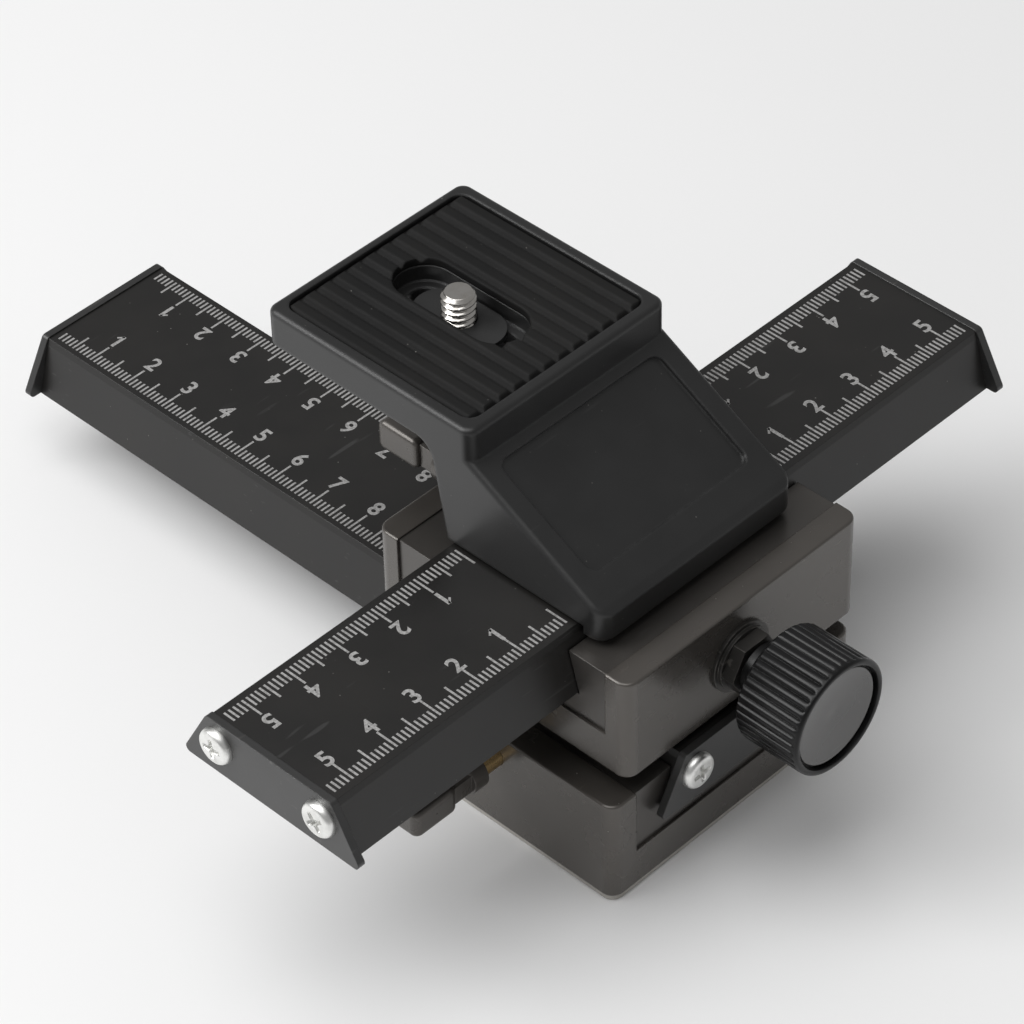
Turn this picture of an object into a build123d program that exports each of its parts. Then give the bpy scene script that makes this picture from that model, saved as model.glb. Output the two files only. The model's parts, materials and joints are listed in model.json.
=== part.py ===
"""Two-axis macro focusing rail: two rack-and-pinion slides, crossed at right angles.

Millimetres, +Z up. The origin is the tripod socket, on the surface that the base stands on.
Both slides are the same mechanism: a dovetail rail in a lined channel, driven by a knob on
one side of the channel and locked by a thumb lever on the other. So each piece is described
once, in the slide's own directions, and made for the lower slide and for the upper one.
"""

import os
from dataclasses import dataclass
from math import acos, cos, floor, pi, radians, sin, tan

from build123d import *

os.makedirs("parts", exist_ok=True)

# --- Clearances ---------------------------------------------------------------------------
slide_gap = 0.3  # rail to channel, and any other pair of faces that pass each other
running_gap = 0.03  # shaft in a bearing, on the radius
seat_gap = 0.02  # pieces pressed or screwed together, on the radius
stop_gap = 0.5  # rail end plate to housing at the end of the travel
bore_play = 0.2  # bores that a shaft only passes through, on the radius
cut_overrun = 1.0  # how far a cut runs out past the piece

# --- Rail: a dovetail extrusion, heights counted from its underside -----------------------
rail_height = 11.4
rail_top_half = 14.6
rail_bevel_width = 0.5
rail_bevel_height = 1.2
rail_foot_half = 18.0
groove_width = 9.0
groove_depth = 6.4
screw_port_spacing = 24.4
screw_port_height = 6.7
screw_port_depth = 12.0

# --- Rail end plate ------------------------------------------------------------------------
plate_thickness = 1.5
plate_top_half = 14.8
plate_foot_half = 21.2
plate_rise = 0.3
plate_corner = 1.0

# --- Rack and pinion -----------------------------------------------------------------------
gear_module = 0.8
pinion_teeth = 12
pressure_angle = radians(20)
backlash = 0.12
rack_addendum = 0.55
root_depth = 1.0
rack_width = 8.6
rack_end_margin = 4.0
pinion_width = 7.0
shaft_radius = 2.0
shaft_drop = 2.9  # shaft axis below the underside of the rail

# --- Housing: a channel-shaped shell with a plastic liner ----------------------------------
shell_height = 22.0
shell_drop = 13.3  # underside of the shell below the underside of the rail
shell_corner = 2.6
shell_edge_round = 0.5
shell_floor = 8.1
liner_top_inset = 0.3
liner_end_inset = 0.5
pocket_gap = 0.6
liner_screw_inset_along = 7.5

# --- Drive knob, counted outwards from the side face of the shell ---------------------------
washer_thickness = 0.7
washer_radii = (7.0, 6.2)
bushing_radius = 4.5
nut_across_flats = 10.5
nut_thickness = 2.6
knob_start = 8.75
knob_length = 14.0
knob_radius = 11.3
knob_ribs = 40
rib_groove_radius = 0.42
hub_radius = 5.0
knob_rim = 1.25
knob_dish_depth = 1.7
cap_groove = 0.45
cap_thickness = 1.0
shaft_into_knob = 9.0
knob_screw_radius = 1.25
knob_screw_head_radius = 2.6
knob_screw_head_height = 1.4
knob_screw_length = 6.0

# --- Lock: thumb lever, threaded stud and brake pad ------------------------------------------
lock_height = 3.3  # lock axis above the underside of the rail
stud_radius = 2.4
lever_start = 4.6
lever_end = 22.0
lever_head_length = 10.3
lever_head_width = 6.6
lever_head_thickness = 5.8
lever_head_corner = 1.6
lever_edge_round = 1.2
lever_stem_width = 5.0
lever_stem_thickness = 3.8
lever_hub_radius = 3.6
lever_hub_length = 3.2
lever_dimple_radius = 1.5
lever_dimple_depth = 1.2
lever_dimple_from_tip = 3.0
stud_into_lever = 8.0
stud_neck_radius = 1.3  # where the lever is moulded on the stud
pad_radius = 2.4
pad_length = 4.2
pad_travel = 0.35
pad_rest_gap = 0.45  # brake pad to rail while released

# --- Screws ---------------------------------------------------------------------------------
plate_screw_head_radius = 3.5
plate_screw_head_height = 2.1
plate_screw_radius = 1.5
plate_screw_length = 9.0
plate_screw_head_taper = 18
cross_slot_length = 3.8
cross_slot_width = 0.9
cross_slot_depth = 1.1
floor_screw_radius = 1.5
floor_screw_head_radius = 2.9
floor_screw_head_height = 2.0
liner_screw_length = 14.0

# --- Base -------------------------------------------------------------------------------------
sole_thickness = 1.2
sole_inset = 0.5
insert_radius = 5.5
insert_height = 8.8
tripod_thread_radius = 3.175

# --- Carriage joint: lower rail to upper housing ----------------------------------------------
spacer_thickness = 1.3
spacer_side_margin = 2.5
spacer_end_margin = 7.0
spacer_corner = 2.0
mount_spacing_across = 19.0
mount_spacing_along = 36.0
mount_screw_rise = 6.0  # screw tip above the underside of the upper shell

# --- Pedestal: wedge-shaped casing that carries the camera platform ------------------------------
pedestal_x = 1.0
pedestal_width = 48.6
lip_front = -20.7
lip_bottom_drop = 1.7  # lip below the top of the upper rail
lip_height = 5.8
slope_start = (-19.3, 57.1)
slope_top = (9.5, 72.6)
platform_top = 79.6
platform_back = 59.0
platform_thickness = 8.0
wall_top_back = 19.6
wall_foot_back = 16.2
neck_round = 4.0
casing_wall = 3.0
rear_wall = 4.5
pillar_corner = 2.2
lip_corner = 3.2
edge_round = 1.0
panel_half_width = 19.7
panel_start = 5.9
panel_end = 30.6
panel_depth = 0.8
panel_corner = 2.0
boss_radius = 3.6
boss_spacing_along = 28.0
boss_spacing_across = 17.0
boss_root = 0.4
pedestal_screw_length = 12.0
screw_head_recess = 3.0

# --- Camera platform, slot, rubber pad and camera screw ---------------------------------------------
pad_recess_width = 43.6
pad_recess_length = 45.3
pad_recess_corner = 2.6
pad_recess_depth = 1.6
pad_recess_from_back = 1.9
pad_gap = 0.2
pad_sheet = 0.7
ridge_count = 12
ridge_pitch = 3.62
ridge_width = 3.2
ridge_rise = 0.9
ridge_taper = 35
ridge_end_inset = 0.5
slot_width = 11.4
slot_length = 29.0
slot_centre_y = 35.5
slot_depth = 3.4
inner_slot_width = 7.2
inner_slot_length = 24.8
camera_screw_radius = 3.175
camera_screw_y = 36.0
camera_screw_tip = 81.4
groove_sink = 0.35
groove_length = 1.4
screw_chamfer = 0.6
slot_washer_length = 19.0
slot_washer_width = 10.8
slot_washer_thickness = 0.8
wheel_radius = 11.0
wheel_bottom = 58.5
wheel_height = 6.5
wheel_hub_radius = 5.5
wheel_ribs = 30
wheel_rib_radius = 0.45
wheel_grip = 0.6  # screw end above the underside of the wheel

# --- Derived ------------------------------------------------------------------------------------------
pitch_radius = gear_module * pinion_teeth / 2
outer_radius = pitch_radius + gear_module
root_radius = pitch_radius - root_depth
base_radius = pitch_radius * cos(pressure_angle)
rack_pitch = pi * gear_module
rack_line = pitch_radius - shaft_drop
rail_shoulder_half = rail_top_half + rail_bevel_width
side_slope = (rail_foot_half - rail_shoulder_half) / (rail_height - rail_bevel_height)
liner_bottom = shell_floor - shell_drop
shell_top = shell_height - shell_drop
lower_rail_bottom = sole_thickness + shell_drop
upper_rail_bottom = lower_rail_bottom + rail_height + spacer_thickness + shell_drop
upper_rail_top = upper_rail_bottom + rail_height


def rail_half_width(height: float) -> float:
    """Half width of the rail's flank at this height above its underside."""
    return rail_foot_half - side_slope * height


@dataclass(frozen=True)
class Slide:
    """One slide: its place, its directions and the sizes in which the two slides differ."""

    housing: str
    rail: str
    along: Vector
    across: Vector
    bottom: float
    shell_length: float
    shell_width: float
    shell_centre: float
    side_wall: float
    run_before: float
    run_after: float
    drive_at: float
    lock_at: float
    lever_normal: Vector

    @property
    def rail_start(self) -> float:
        """Where the rail begins: its run out of the shell on the near side."""
        return self.shell_centre - self.shell_length / 2 - self.run_before

    @property
    def rail_end(self) -> float:
        """Where the rail ends: its run out of the shell on the far side."""
        return self.shell_centre + self.shell_length / 2 + self.run_after

    @property
    def face(self) -> float:
        """Distance from the rail's centre line to the side face of the shell."""
        return self.shell_width / 2

    @property
    def liner_half(self) -> float:
        """Half width of the space between the side walls."""
        return self.face - self.side_wall

    def point(self, along: float, across: float, height: float) -> Vector:
        """Row-frame point from distances along, across and above the rail's underside."""
        return self.along * along + self.across * across + Vector(0, 0, self.bottom + height)

    def plan(self, height: float, along: float = 0, across: float = 0) -> Plane:
        """Level plane facing up; sketch X runs along the rail."""
        return Plane(self.point(along, across, height), x_dir=self.along, z_dir=(0, 0, 1))

    def section(self, along: float) -> Plane:
        """Upright plane across the rail; sketch X runs across, sketch Y up."""
        return Plane(self.point(along, 0, 0), x_dir=self.across, z_dir=self.along)

    def drive_plane(self, outward: float) -> Plane:
        """Plane on the shaft axis, facing the knob's side, this far from the centre line."""
        origin = self.point(self.drive_at, -outward, -shaft_drop)
        return Plane(origin, x_dir=self.along, z_dir=self.across * -1)

    def lock_plane(self, outward: float) -> Plane:
        """Plane on the lock's axis, facing the lever's side, this far from the centre line."""
        origin = self.point(self.lock_at, outward, lock_height)
        return Plane(origin, x_dir=self.along * -1, z_dir=self.across)


lower = Slide(
    housing="base", rail="lower_rail", along=Vector(0, 1, 0), across=Vector(-1, 0, 0),
    bottom=lower_rail_bottom, shell_length=60.0, shell_width=62.0, shell_centre=0.0,
    side_wall=6.0, run_before=stop_gap, run_after=102.5, drive_at=14.0, lock_at=-1.5,
    lever_normal=Vector(0, 0, 1),
)
upper = Slide(
    housing="carriage", rail="upper_rail", along=Vector(1, 0, 0), across=Vector(0, 1, 0),
    bottom=upper_rail_bottom, shell_length=59.0, shell_width=59.5, shell_centre=2.5,
    side_wall=5.2, run_before=52.3, run_after=49.3, drive_at=1.0, lock_at=-2.5,
    lever_normal=Vector(1, 0, 0),
)


def save(piece: Part, name: str) -> None:
    """Label a finished piece and write its STEP file."""
    piece.label = name
    export_step(piece, f"parts/{name}.step")


def liner_screw_places(slide: Slide) -> GridLocations:
    """Places of the four screws that hold the liner, about the shell's centre."""
    channel_half = rail_half_width(0) + slide_gap
    along = slide.shell_length - 2 * liner_screw_inset_along
    return GridLocations(along, channel_half + slide.liner_half, 2, 2)


# --- Pieces that both slides have ---------------------------------------------------------------------
def make_shell(slide: Slide) -> Part:
    """Outer casing: a rounded block with a channel for the liner, open at both ends."""
    centre = slide.shell_centre
    with BuildPart() as shell:
        with BuildSketch(slide.plan(-shell_drop, centre)):
            RectangleRounded(slide.shell_length, slide.shell_width, shell_corner)
        extrude(amount=shell_height)
        rims = shell.edges().group_by(Axis.Z)
        fillet(rims[-1] + rims[0], radius=shell_edge_round)
        with BuildSketch(slide.plan(liner_bottom, centre)):
            Rectangle(slide.shell_length + 2 * cut_overrun, 2 * slide.liner_half)
        extrude(amount=shell_height, mode=Mode.SUBTRACT)
        pocket = pinion_pocket_depth()
        with BuildSketch(slide.plan(-pocket, slide.drive_at)):
            Rectangle(2 * (outer_radius + pocket_gap), pinion_width + 2 * pocket_gap)
        extrude(amount=pocket, mode=Mode.SUBTRACT)
        with BuildSketch(slide.drive_plane(slide.liner_half - cut_overrun)):
            Circle(bushing_radius + seat_gap)
        extrude(amount=slide.side_wall + 2 * cut_overrun, mode=Mode.SUBTRACT)
        with BuildSketch(slide.lock_plane(slide.liner_half - cut_overrun)):
            Circle(stud_radius + running_gap)
        extrude(amount=slide.side_wall + 2 * cut_overrun, mode=Mode.SUBTRACT)
        with BuildSketch(slide.plan(-shell_drop, centre)):
            with liner_screw_places(slide):
                Circle(floor_screw_radius + seat_gap)
        extrude(amount=shell_floor, mode=Mode.SUBTRACT)
        with BuildSketch(slide.plan(-shell_drop, centre)):
            with liner_screw_places(slide):
                Circle(floor_screw_head_radius + seat_gap)
        extrude(amount=floor_screw_head_height, mode=Mode.SUBTRACT)
        if slide.housing == "base":
            with BuildSketch(slide.plan(-shell_drop)):
                Circle(insert_radius + seat_gap)
            extrude(amount=insert_height - sole_thickness + seat_gap, mode=Mode.SUBTRACT)
        else:
            with BuildSketch(slide.plan(-shell_drop)):
                with GridLocations(mount_spacing_across, mount_spacing_along, 2, 2):
                    Circle(floor_screw_radius + seat_gap)
            extrude(amount=mount_screw_rise + seat_gap, mode=Mode.SUBTRACT)
    return shell.part


def pinion_pocket_depth() -> float:
    """Depth of the pinion's pocket below the underside of the rail."""
    return shaft_drop + outer_radius + pocket_gap


def make_liner(slide: Slide) -> Part:
    """Channel that the rail runs in, with its bores for the shaft, the lock and the screws."""
    top = shell_top - liner_top_inset
    length = slide.shell_length - 2 * liner_end_inset
    outer = slide.liner_half - seat_gap
    channel_foot = rail_half_width(0) + slide_gap
    channel_mouth = rail_half_width(top) + slide_gap
    with BuildPart() as liner:
        with BuildSketch(slide.section(slide.shell_centre - length / 2)):
            with BuildLine():
                Polyline(
                    (-outer, liner_bottom), (outer, liner_bottom), (outer, top),
                    (channel_mouth, top), (channel_foot, -slide_gap),
                    (-channel_foot, -slide_gap), (-channel_mouth, top), (-outer, top),
                    close=True,
                )
            make_face()
        extrude(amount=length)
        with BuildSketch(slide.plan(liner_bottom, slide.drive_at)):
            Rectangle(2 * (outer_radius + pocket_gap), pinion_width + 2 * pocket_gap)
        extrude(amount=shell_height, mode=Mode.SUBTRACT)
        with BuildSketch(slide.drive_plane(0)):
            Circle(shaft_radius + bore_play)
        extrude(amount=slide.face, mode=Mode.SUBTRACT)
        with BuildSketch(slide.drive_plane(0)):
            Circle(shaft_radius + running_gap)
        extrude(amount=-pinion_width, mode=Mode.SUBTRACT)
        with BuildSketch(slide.lock_plane(0)):
            Circle(pad_radius + running_gap)
        extrude(amount=slide.face, mode=Mode.SUBTRACT)
        with BuildSketch(slide.plan(liner_bottom, slide.shell_centre)):
            with liner_screw_places(slide):
                Circle(floor_screw_radius + seat_gap)
        extrude(amount=liner_screw_tip() - liner_bottom + seat_gap, mode=Mode.SUBTRACT)
    return liner.part


def liner_screw_tip() -> float:
    """Height of the liner screws' tips above the underside of the rail."""
    return liner_screw_length + floor_screw_head_height - shell_drop


def make_liner_screws(slide: Slide) -> Part:
    """Four pan-head screws that hold the liner down, from below."""
    with BuildPart() as screws:
        with BuildSketch(slide.plan(-shell_drop, slide.shell_centre)):
            with liner_screw_places(slide):
                Circle(floor_screw_head_radius)
        extrude(amount=floor_screw_head_height - seat_gap)
        with BuildSketch(slide.plan(-shell_drop, slide.shell_centre)):
            with liner_screw_places(slide):
                Circle(floor_screw_radius)
        extrude(amount=liner_screw_tip() + shell_drop)
    return screws.part


def make_rail(slide: Slide) -> Part:
    """Dovetail extrusion with a groove for the rack and screw ports in both ends."""
    shoulder = rail_height - rail_bevel_height
    length = slide.rail_end - slide.rail_start
    with BuildPart() as rail:
        with BuildSketch(slide.section(slide.rail_start)):
            with BuildLine():
                Polyline(
                    (-rail_foot_half, 0), (rail_foot_half, 0), (rail_shoulder_half, shoulder),
                    (rail_top_half, rail_height), (-rail_top_half, rail_height),
                    (-rail_shoulder_half, shoulder), close=True,
                )
            make_face()
            with Locations((0, groove_depth / 2)):
                Rectangle(groove_width, groove_depth, mode=Mode.SUBTRACT)
        extrude(amount=length)
        for end, inward in ((slide.rail_start, 1), (slide.rail_end, -1)):
            with BuildSketch(slide.section(end)):
                with Locations((0, screw_port_height)):
                    with GridLocations(screw_port_spacing, 1, 2, 1):
                        Circle(plate_screw_radius + seat_gap)
            extrude(amount=inward * screw_port_depth, mode=Mode.SUBTRACT)
        places = rail_screw_places(slide)
        with BuildSketch(slide.plan(0, places.along)):
            with GridLocations(places.pitch_along, places.pitch_across, 2, 2):
                Circle(floor_screw_radius + seat_gap)
        extrude(amount=rail_height, mode=Mode.SUBTRACT)
        with BuildSketch(slide.plan(0, places.along)):
            with GridLocations(places.pitch_along, places.pitch_across, 2, 2):
                Circle(floor_screw_head_radius + seat_gap)
        extrude(amount=screw_head_recess, mode=Mode.SUBTRACT)
    return rail.part


@dataclass(frozen=True)
class RailScrews:
    """Places of the four screws through a rail into what it carries."""

    along: float
    pitch_along: float
    pitch_across: float


def rail_screw_places(slide: Slide) -> RailScrews:
    """The screws through this slide's rail."""
    if slide.housing == "base":
        return RailScrews(0, mount_spacing_along, mount_spacing_across)
    return RailScrews(pedestal_x, boss_spacing_along, boss_spacing_across)


def make_rack(slide: Slide) -> Part:
    """Rack strip, teeth down, with a tooth space over the shaft."""
    half_tooth = rack_pitch / 4 - backlash / 2
    tip_half = half_tooth - rack_addendum * tan(pressure_angle)
    root_half = half_tooth + root_depth * tan(pressure_angle)
    tip_height = rack_line - rack_addendum
    root_height = rack_line + root_depth
    start = slide.rail_start + rack_end_margin
    end = slide.rail_end - rack_end_margin
    before = floor((slide.drive_at - start) / rack_pitch - 1)
    after = floor((end - slide.drive_at) / rack_pitch - 1)
    outline = [(start, root_height)]
    for step in range(-before, after):
        middle = slide.drive_at + (step + 0.5) * rack_pitch
        outline += [(middle - root_half, root_height), (middle - tip_half, tip_height)]
        outline += [(middle + tip_half, tip_height), (middle + root_half, root_height)]
    outline += [(end, root_height), (end, groove_depth), (start, groove_depth)]
    flank = Plane(slide.point(0, rack_width / 2, 0), x_dir=slide.along, z_dir=slide.across * -1)
    with BuildPart() as rack:
        with BuildSketch(flank):
            with BuildLine():
                Polyline(*outline, close=True)
            make_face()
        extrude(amount=rack_width)
    return rack.part


def make_end_plate(slide: Slide, outer_end: float, outward: int) -> Part:
    """Trapezoid end plate, a stop for the slide, with its two screw holes."""
    top = rail_height + plate_rise
    with BuildPart() as plate:
        with BuildSketch(slide.section(outer_end)):
            with BuildLine():
                Polyline(
                    (-plate_foot_half, 0), (plate_foot_half, 0),
                    (plate_top_half, top), (-plate_top_half, top), close=True,
                )
            outline = make_face()
            fillet(outline.vertices(), radius=plate_corner)
            with Locations((0, screw_port_height)):
                with GridLocations(screw_port_spacing, 1, 2, 1):
                    Circle(plate_screw_radius + seat_gap, mode=Mode.SUBTRACT)
        extrude(amount=outward * plate_thickness)
    return plate.part


def make_plate_screws(slide: Slide) -> Part:
    """Cross-head screws of both end plates."""
    with BuildPart() as screws:
        for end, outward in ((slide.rail_start, -1), (slide.rail_end, 1)):
            seat = end + outward * plate_thickness
            with BuildSketch(slide.section(seat)):
                with Locations((0, screw_port_height)):
                    with GridLocations(screw_port_spacing, 1, 2, 1):
                        Circle(plate_screw_head_radius)
            extrude(amount=outward * plate_screw_head_height, taper=plate_screw_head_taper)
            with BuildSketch(slide.section(seat)):
                with Locations((0, screw_port_height)):
                    with GridLocations(screw_port_spacing, 1, 2, 1):
                        Circle(plate_screw_radius)
            extrude(amount=-outward * (plate_screw_length + plate_thickness))
            crown = seat + outward * plate_screw_head_height
            with BuildSketch(slide.section(crown)):
                with Locations((0, screw_port_height)):
                    with GridLocations(screw_port_spacing, 1, 2, 1):
                        Rectangle(cross_slot_length, cross_slot_width)
                        Rectangle(cross_slot_width, cross_slot_length)
            extrude(amount=-outward * cross_slot_depth, mode=Mode.SUBTRACT)
    return screws.part


def make_bushing(slide: Slide) -> Part:
    """Hexagon-headed bearing bush, screwed into the side wall."""
    head = slide.face + 2 * washer_thickness
    with BuildPart() as bushing:
        with BuildSketch(slide.drive_plane(slide.liner_half)):
            Circle(bushing_radius)
        extrude(amount=head - slide.liner_half)
        with BuildSketch(slide.drive_plane(head)):
            RegularPolygon(nut_across_flats / 2, 6, major_radius=False)
        extrude(amount=nut_thickness)
        with BuildSketch(slide.drive_plane(slide.liner_half)):
            Circle(shaft_radius + running_gap)
        extrude(amount=head + nut_thickness - slide.liner_half, mode=Mode.SUBTRACT)
    return bushing.part


def make_washers(slide: Slide) -> Part:
    """The two washers between the bush's head and the shell."""
    with BuildPart() as washers:
        for place, radius in enumerate(washer_radii):
            thickness = washer_thickness - seat_gap
            with BuildSketch(slide.drive_plane(slide.face + place * washer_thickness)):
                Circle(radius)
                Circle(bushing_radius + seat_gap, mode=Mode.SUBTRACT)
            extrude(amount=thickness)
    return washers.part


def make_shaft(slide: Slide) -> Part:
    """Steel shaft from the blind bearing in the liner out into the knob."""
    inner_end = slide_gap - pinion_width
    outer_end = slide.face + knob_start + shaft_into_knob
    with BuildPart() as shaft:
        with BuildSketch(slide.drive_plane(inner_end)):
            Circle(shaft_radius)
        extrude(amount=outer_end - inner_end)
        with BuildSketch(slide.drive_plane(outer_end)):
            Circle(knob_screw_radius + seat_gap)
        extrude(amount=-knob_screw_length, mode=Mode.SUBTRACT)
    return shaft.part


def flank_point(radius: float, middle: float, side: int) -> tuple[float, float]:
    """Point on the involute flank of the tooth whose middle lies at this angle."""
    inside = acos(min(1.0, base_radius / radius))
    at_pitch = pi / (2 * pinion_teeth) - backlash / (2 * pitch_radius)
    half = at_pitch + tan(pressure_angle) - pressure_angle - (tan(inside) - inside)
    angle = middle + side * half
    return (radius * cos(angle), radius * sin(angle))


def make_pinion(slide: Slide) -> Part:
    """Spur pinion, one tooth pointing straight up into the rack at rest."""
    flank_steps = 4
    rise = (outer_radius - base_radius) / flank_steps
    radii = [root_radius] + [base_radius + rise * step for step in range(flank_steps + 1)]
    outline = []
    for tooth in range(pinion_teeth):
        middle = pi / 2 + tooth * 2 * pi / pinion_teeth
        outline += [flank_point(radius, middle, -1) for radius in radii]
        outline += [flank_point(radius, middle, 1) for radius in reversed(radii)]
    with BuildPart() as pinion:
        with BuildSketch(slide.drive_plane(-pinion_width / 2)):
            with BuildLine():
                Polyline(*outline, close=True)
            make_face()
            Circle(shaft_radius + seat_gap, mode=Mode.SUBTRACT)
        extrude(amount=pinion_width)
    return pinion.part


def make_knob(slide: Slide) -> Part:
    """Ribbed knob with a neck towards the shell and a dish in its outer face."""
    back = slide.face + knob_start
    front = back + knob_length
    neck = slide.face + 2 * washer_thickness + nut_thickness + slide_gap
    with BuildPart() as knob:
        with BuildSketch(slide.drive_plane(back)):
            Circle(knob_radius)
            with PolarLocations(knob_radius, knob_ribs):
                Circle(rib_groove_radius, mode=Mode.SUBTRACT)
        extrude(amount=knob_length)
        with BuildSketch(slide.drive_plane(neck)):
            Circle(hub_radius)
        extrude(amount=back - neck)
        with BuildSketch(slide.drive_plane(front)):
            Circle(knob_radius - knob_rim)
        extrude(amount=-knob_dish_depth, mode=Mode.SUBTRACT)
        with BuildSketch(slide.drive_plane(neck)):
            Circle(shaft_radius + seat_gap)
        extrude(amount=back + shaft_into_knob + seat_gap - neck, mode=Mode.SUBTRACT)
        with BuildSketch(slide.drive_plane(front)):
            Circle(knob_screw_head_radius + seat_gap)
        extrude(amount=-(knob_dish_depth + knob_screw_head_height), mode=Mode.SUBTRACT)
        with BuildSketch(slide.drive_plane(front)):
            Circle(knob_screw_radius + seat_gap)
        extrude(amount=-knob_length, mode=Mode.SUBTRACT)
    return knob.part


def make_knob_screw(slide: Slide) -> Part:
    """Screw under the cap that holds the knob on the shaft."""
    dish = slide.face + knob_start + knob_length - knob_dish_depth
    shaft_end = slide.face + knob_start + shaft_into_knob
    with BuildPart() as screw:
        with BuildSketch(slide.drive_plane(dish - seat_gap)):
            Circle(knob_screw_head_radius)
        extrude(amount=seat_gap - knob_screw_head_height)
        with BuildSketch(slide.drive_plane(dish - knob_screw_head_height)):
            Circle(knob_screw_radius)
        extrude(amount=shaft_end + seat_gap - knob_screw_length + knob_screw_head_height - dish)
    return screw.part


def make_cap(slide: Slide) -> Part:
    """Disc that closes the knob's dish."""
    dish = slide.face + knob_start + knob_length - knob_dish_depth
    with BuildPart() as cap:
        with BuildSketch(slide.drive_plane(dish)):
            Circle(knob_radius - knob_rim - cap_groove)
        extrude(amount=cap_thickness)
    return cap.part


def make_lever(slide: Slide) -> Part:
    """Thumb lever in line with its stud: a round hub, a flat stem and a broad head."""
    length = lever_end - lever_start
    root = slide.face + lever_start
    broad = Plane(
        slide.point(slide.lock_at, root, lock_height),
        x_dir=slide.across, z_dir=slide.lever_normal,
    )
    with BuildPart() as lever:
        with BuildSketch(broad.offset(-lever_head_thickness / 2)):
            with Locations((length - lever_head_length / 2, 0)):
                RectangleRounded(lever_head_length, lever_head_width, lever_head_corner)
        extrude(amount=lever_head_thickness)
        fillet(lever.edges().filter_by(broad), radius=lever_edge_round)
        with BuildSketch(broad.offset(-lever_stem_thickness / 2)):
            with Locations((length / 2 - lever_head_corner, 0)):
                Rectangle(length - 2 * lever_head_corner, lever_stem_width)
        extrude(amount=lever_stem_thickness)
        with BuildSketch(slide.lock_plane(root)):
            Circle(lever_hub_radius)
        extrude(amount=lever_hub_length)
        with BuildSketch(broad.offset(lever_head_thickness / 2)):
            with Locations((length - lever_dimple_from_tip, 0)):
                Circle(lever_dimple_radius)
        extrude(amount=-lever_dimple_depth, mode=Mode.SUBTRACT)
        with BuildSketch(slide.lock_plane(root)):
            Circle(stud_neck_radius + seat_gap)
        extrude(amount=stud_into_lever + seat_gap, mode=Mode.SUBTRACT)
    return lever.part


def pad_outer_end(slide: Slide) -> float:
    """Distance of the pad's outer end from the rail's centre line."""
    return rail_half_width(lock_height) + pad_rest_gap + pad_length


def make_stud(slide: Slide) -> Part:
    """Threaded brass stud from the brake pad out into the lever."""
    inner = pad_outer_end(slide) + seat_gap
    shoulder = slide.face + lever_start - seat_gap
    with BuildPart() as stud:
        with BuildSketch(slide.lock_plane(inner)):
            Circle(stud_radius)
        extrude(amount=shoulder - inner)
        with BuildSketch(slide.lock_plane(shoulder)):
            Circle(stud_neck_radius)
        extrude(amount=stud_into_lever)
    return stud.part


def make_brake_pad(slide: Slide) -> Part:
    """Nylon plug that the stud presses on the rail's flank; its inner end follows the flank."""
    outer = pad_outer_end(slide)
    inner = outer - 2 * pad_length
    upright = slide.across + Vector(0, 0, side_slope)
    contact = slide.point(slide.lock_at, rail_half_width(lock_height) + pad_rest_gap, lock_height)
    with BuildPart() as pad:
        with BuildSketch(slide.lock_plane(inner)):
            Circle(pad_radius)
        extrude(amount=outer - inner)
        split(bisect_by=Plane(contact, z_dir=upright), keep=Keep.TOP)
    return pad.part


for slide in (lower, upper):
    save(make_shell(slide), f"{slide.housing}_shell")
    save(make_liner(slide), f"{slide.housing}_liner")
    save(make_liner_screws(slide), f"{slide.housing}_liner_screws")
    save(make_bushing(slide), f"{slide.housing}_bushing")
    save(make_washers(slide), f"{slide.housing}_washers")
    save(make_shaft(slide), f"{slide.housing}_shaft")
    save(make_pinion(slide), f"{slide.housing}_pinion")
    save(make_knob(slide), f"{slide.housing}_knob")
    save(make_knob_screw(slide), f"{slide.housing}_knob_screw")
    save(make_cap(slide), f"{slide.housing}_knob_cap")
    save(make_lever(slide), f"{slide.housing}_lock_lever")
    save(make_stud(slide), f"{slide.housing}_lock_stud")
    save(make_brake_pad(slide), f"{slide.housing}_brake_pad")
    save(make_rail(slide), slide.rail)
    save(make_rack(slide), f"{slide.rail}_rack")
    save(make_end_plate(slide, slide.rail_start, -1), f"{slide.rail}_plate_near")
    save(make_end_plate(slide, slide.rail_end, 1), f"{slide.rail}_plate_far")
    save(make_plate_screws(slide), f"{slide.rail}_plate_screws")


# --- Base: sole and tripod insert ------------------------------------------------------------------------
with BuildPart() as base_sole:
    with BuildSketch(Plane.XY):
        RectangleRounded(
            lower.shell_width - 2 * sole_inset,
            lower.shell_length - 2 * sole_inset,
            shell_corner - sole_inset,
        )
        Circle(insert_radius + slide_gap, mode=Mode.SUBTRACT)
    extrude(amount=sole_thickness)
save(base_sole.part, "base_sole")

with BuildPart() as tripod_insert:
    with BuildSketch(Plane.XY):
        Circle(insert_radius)
        Circle(tripod_thread_radius, mode=Mode.SUBTRACT)
    extrude(amount=insert_height)
save(tripod_insert.part, "tripod_insert")


# --- Joint between the lower rail and the upper housing ------------------------------------------------------
with BuildPart() as mount_spacer:
    with BuildSketch(lower.plan(rail_height)):
        RectangleRounded(
            mount_spacing_along + 2 * spacer_end_margin,
            mount_spacing_across + 2 * spacer_side_margin,
            spacer_corner,
        )
        with GridLocations(mount_spacing_along, mount_spacing_across, 2, 2):
            Circle(floor_screw_radius + seat_gap, mode=Mode.SUBTRACT)
    extrude(amount=spacer_thickness)
save(mount_spacer.part, "mount_spacer")


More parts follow.
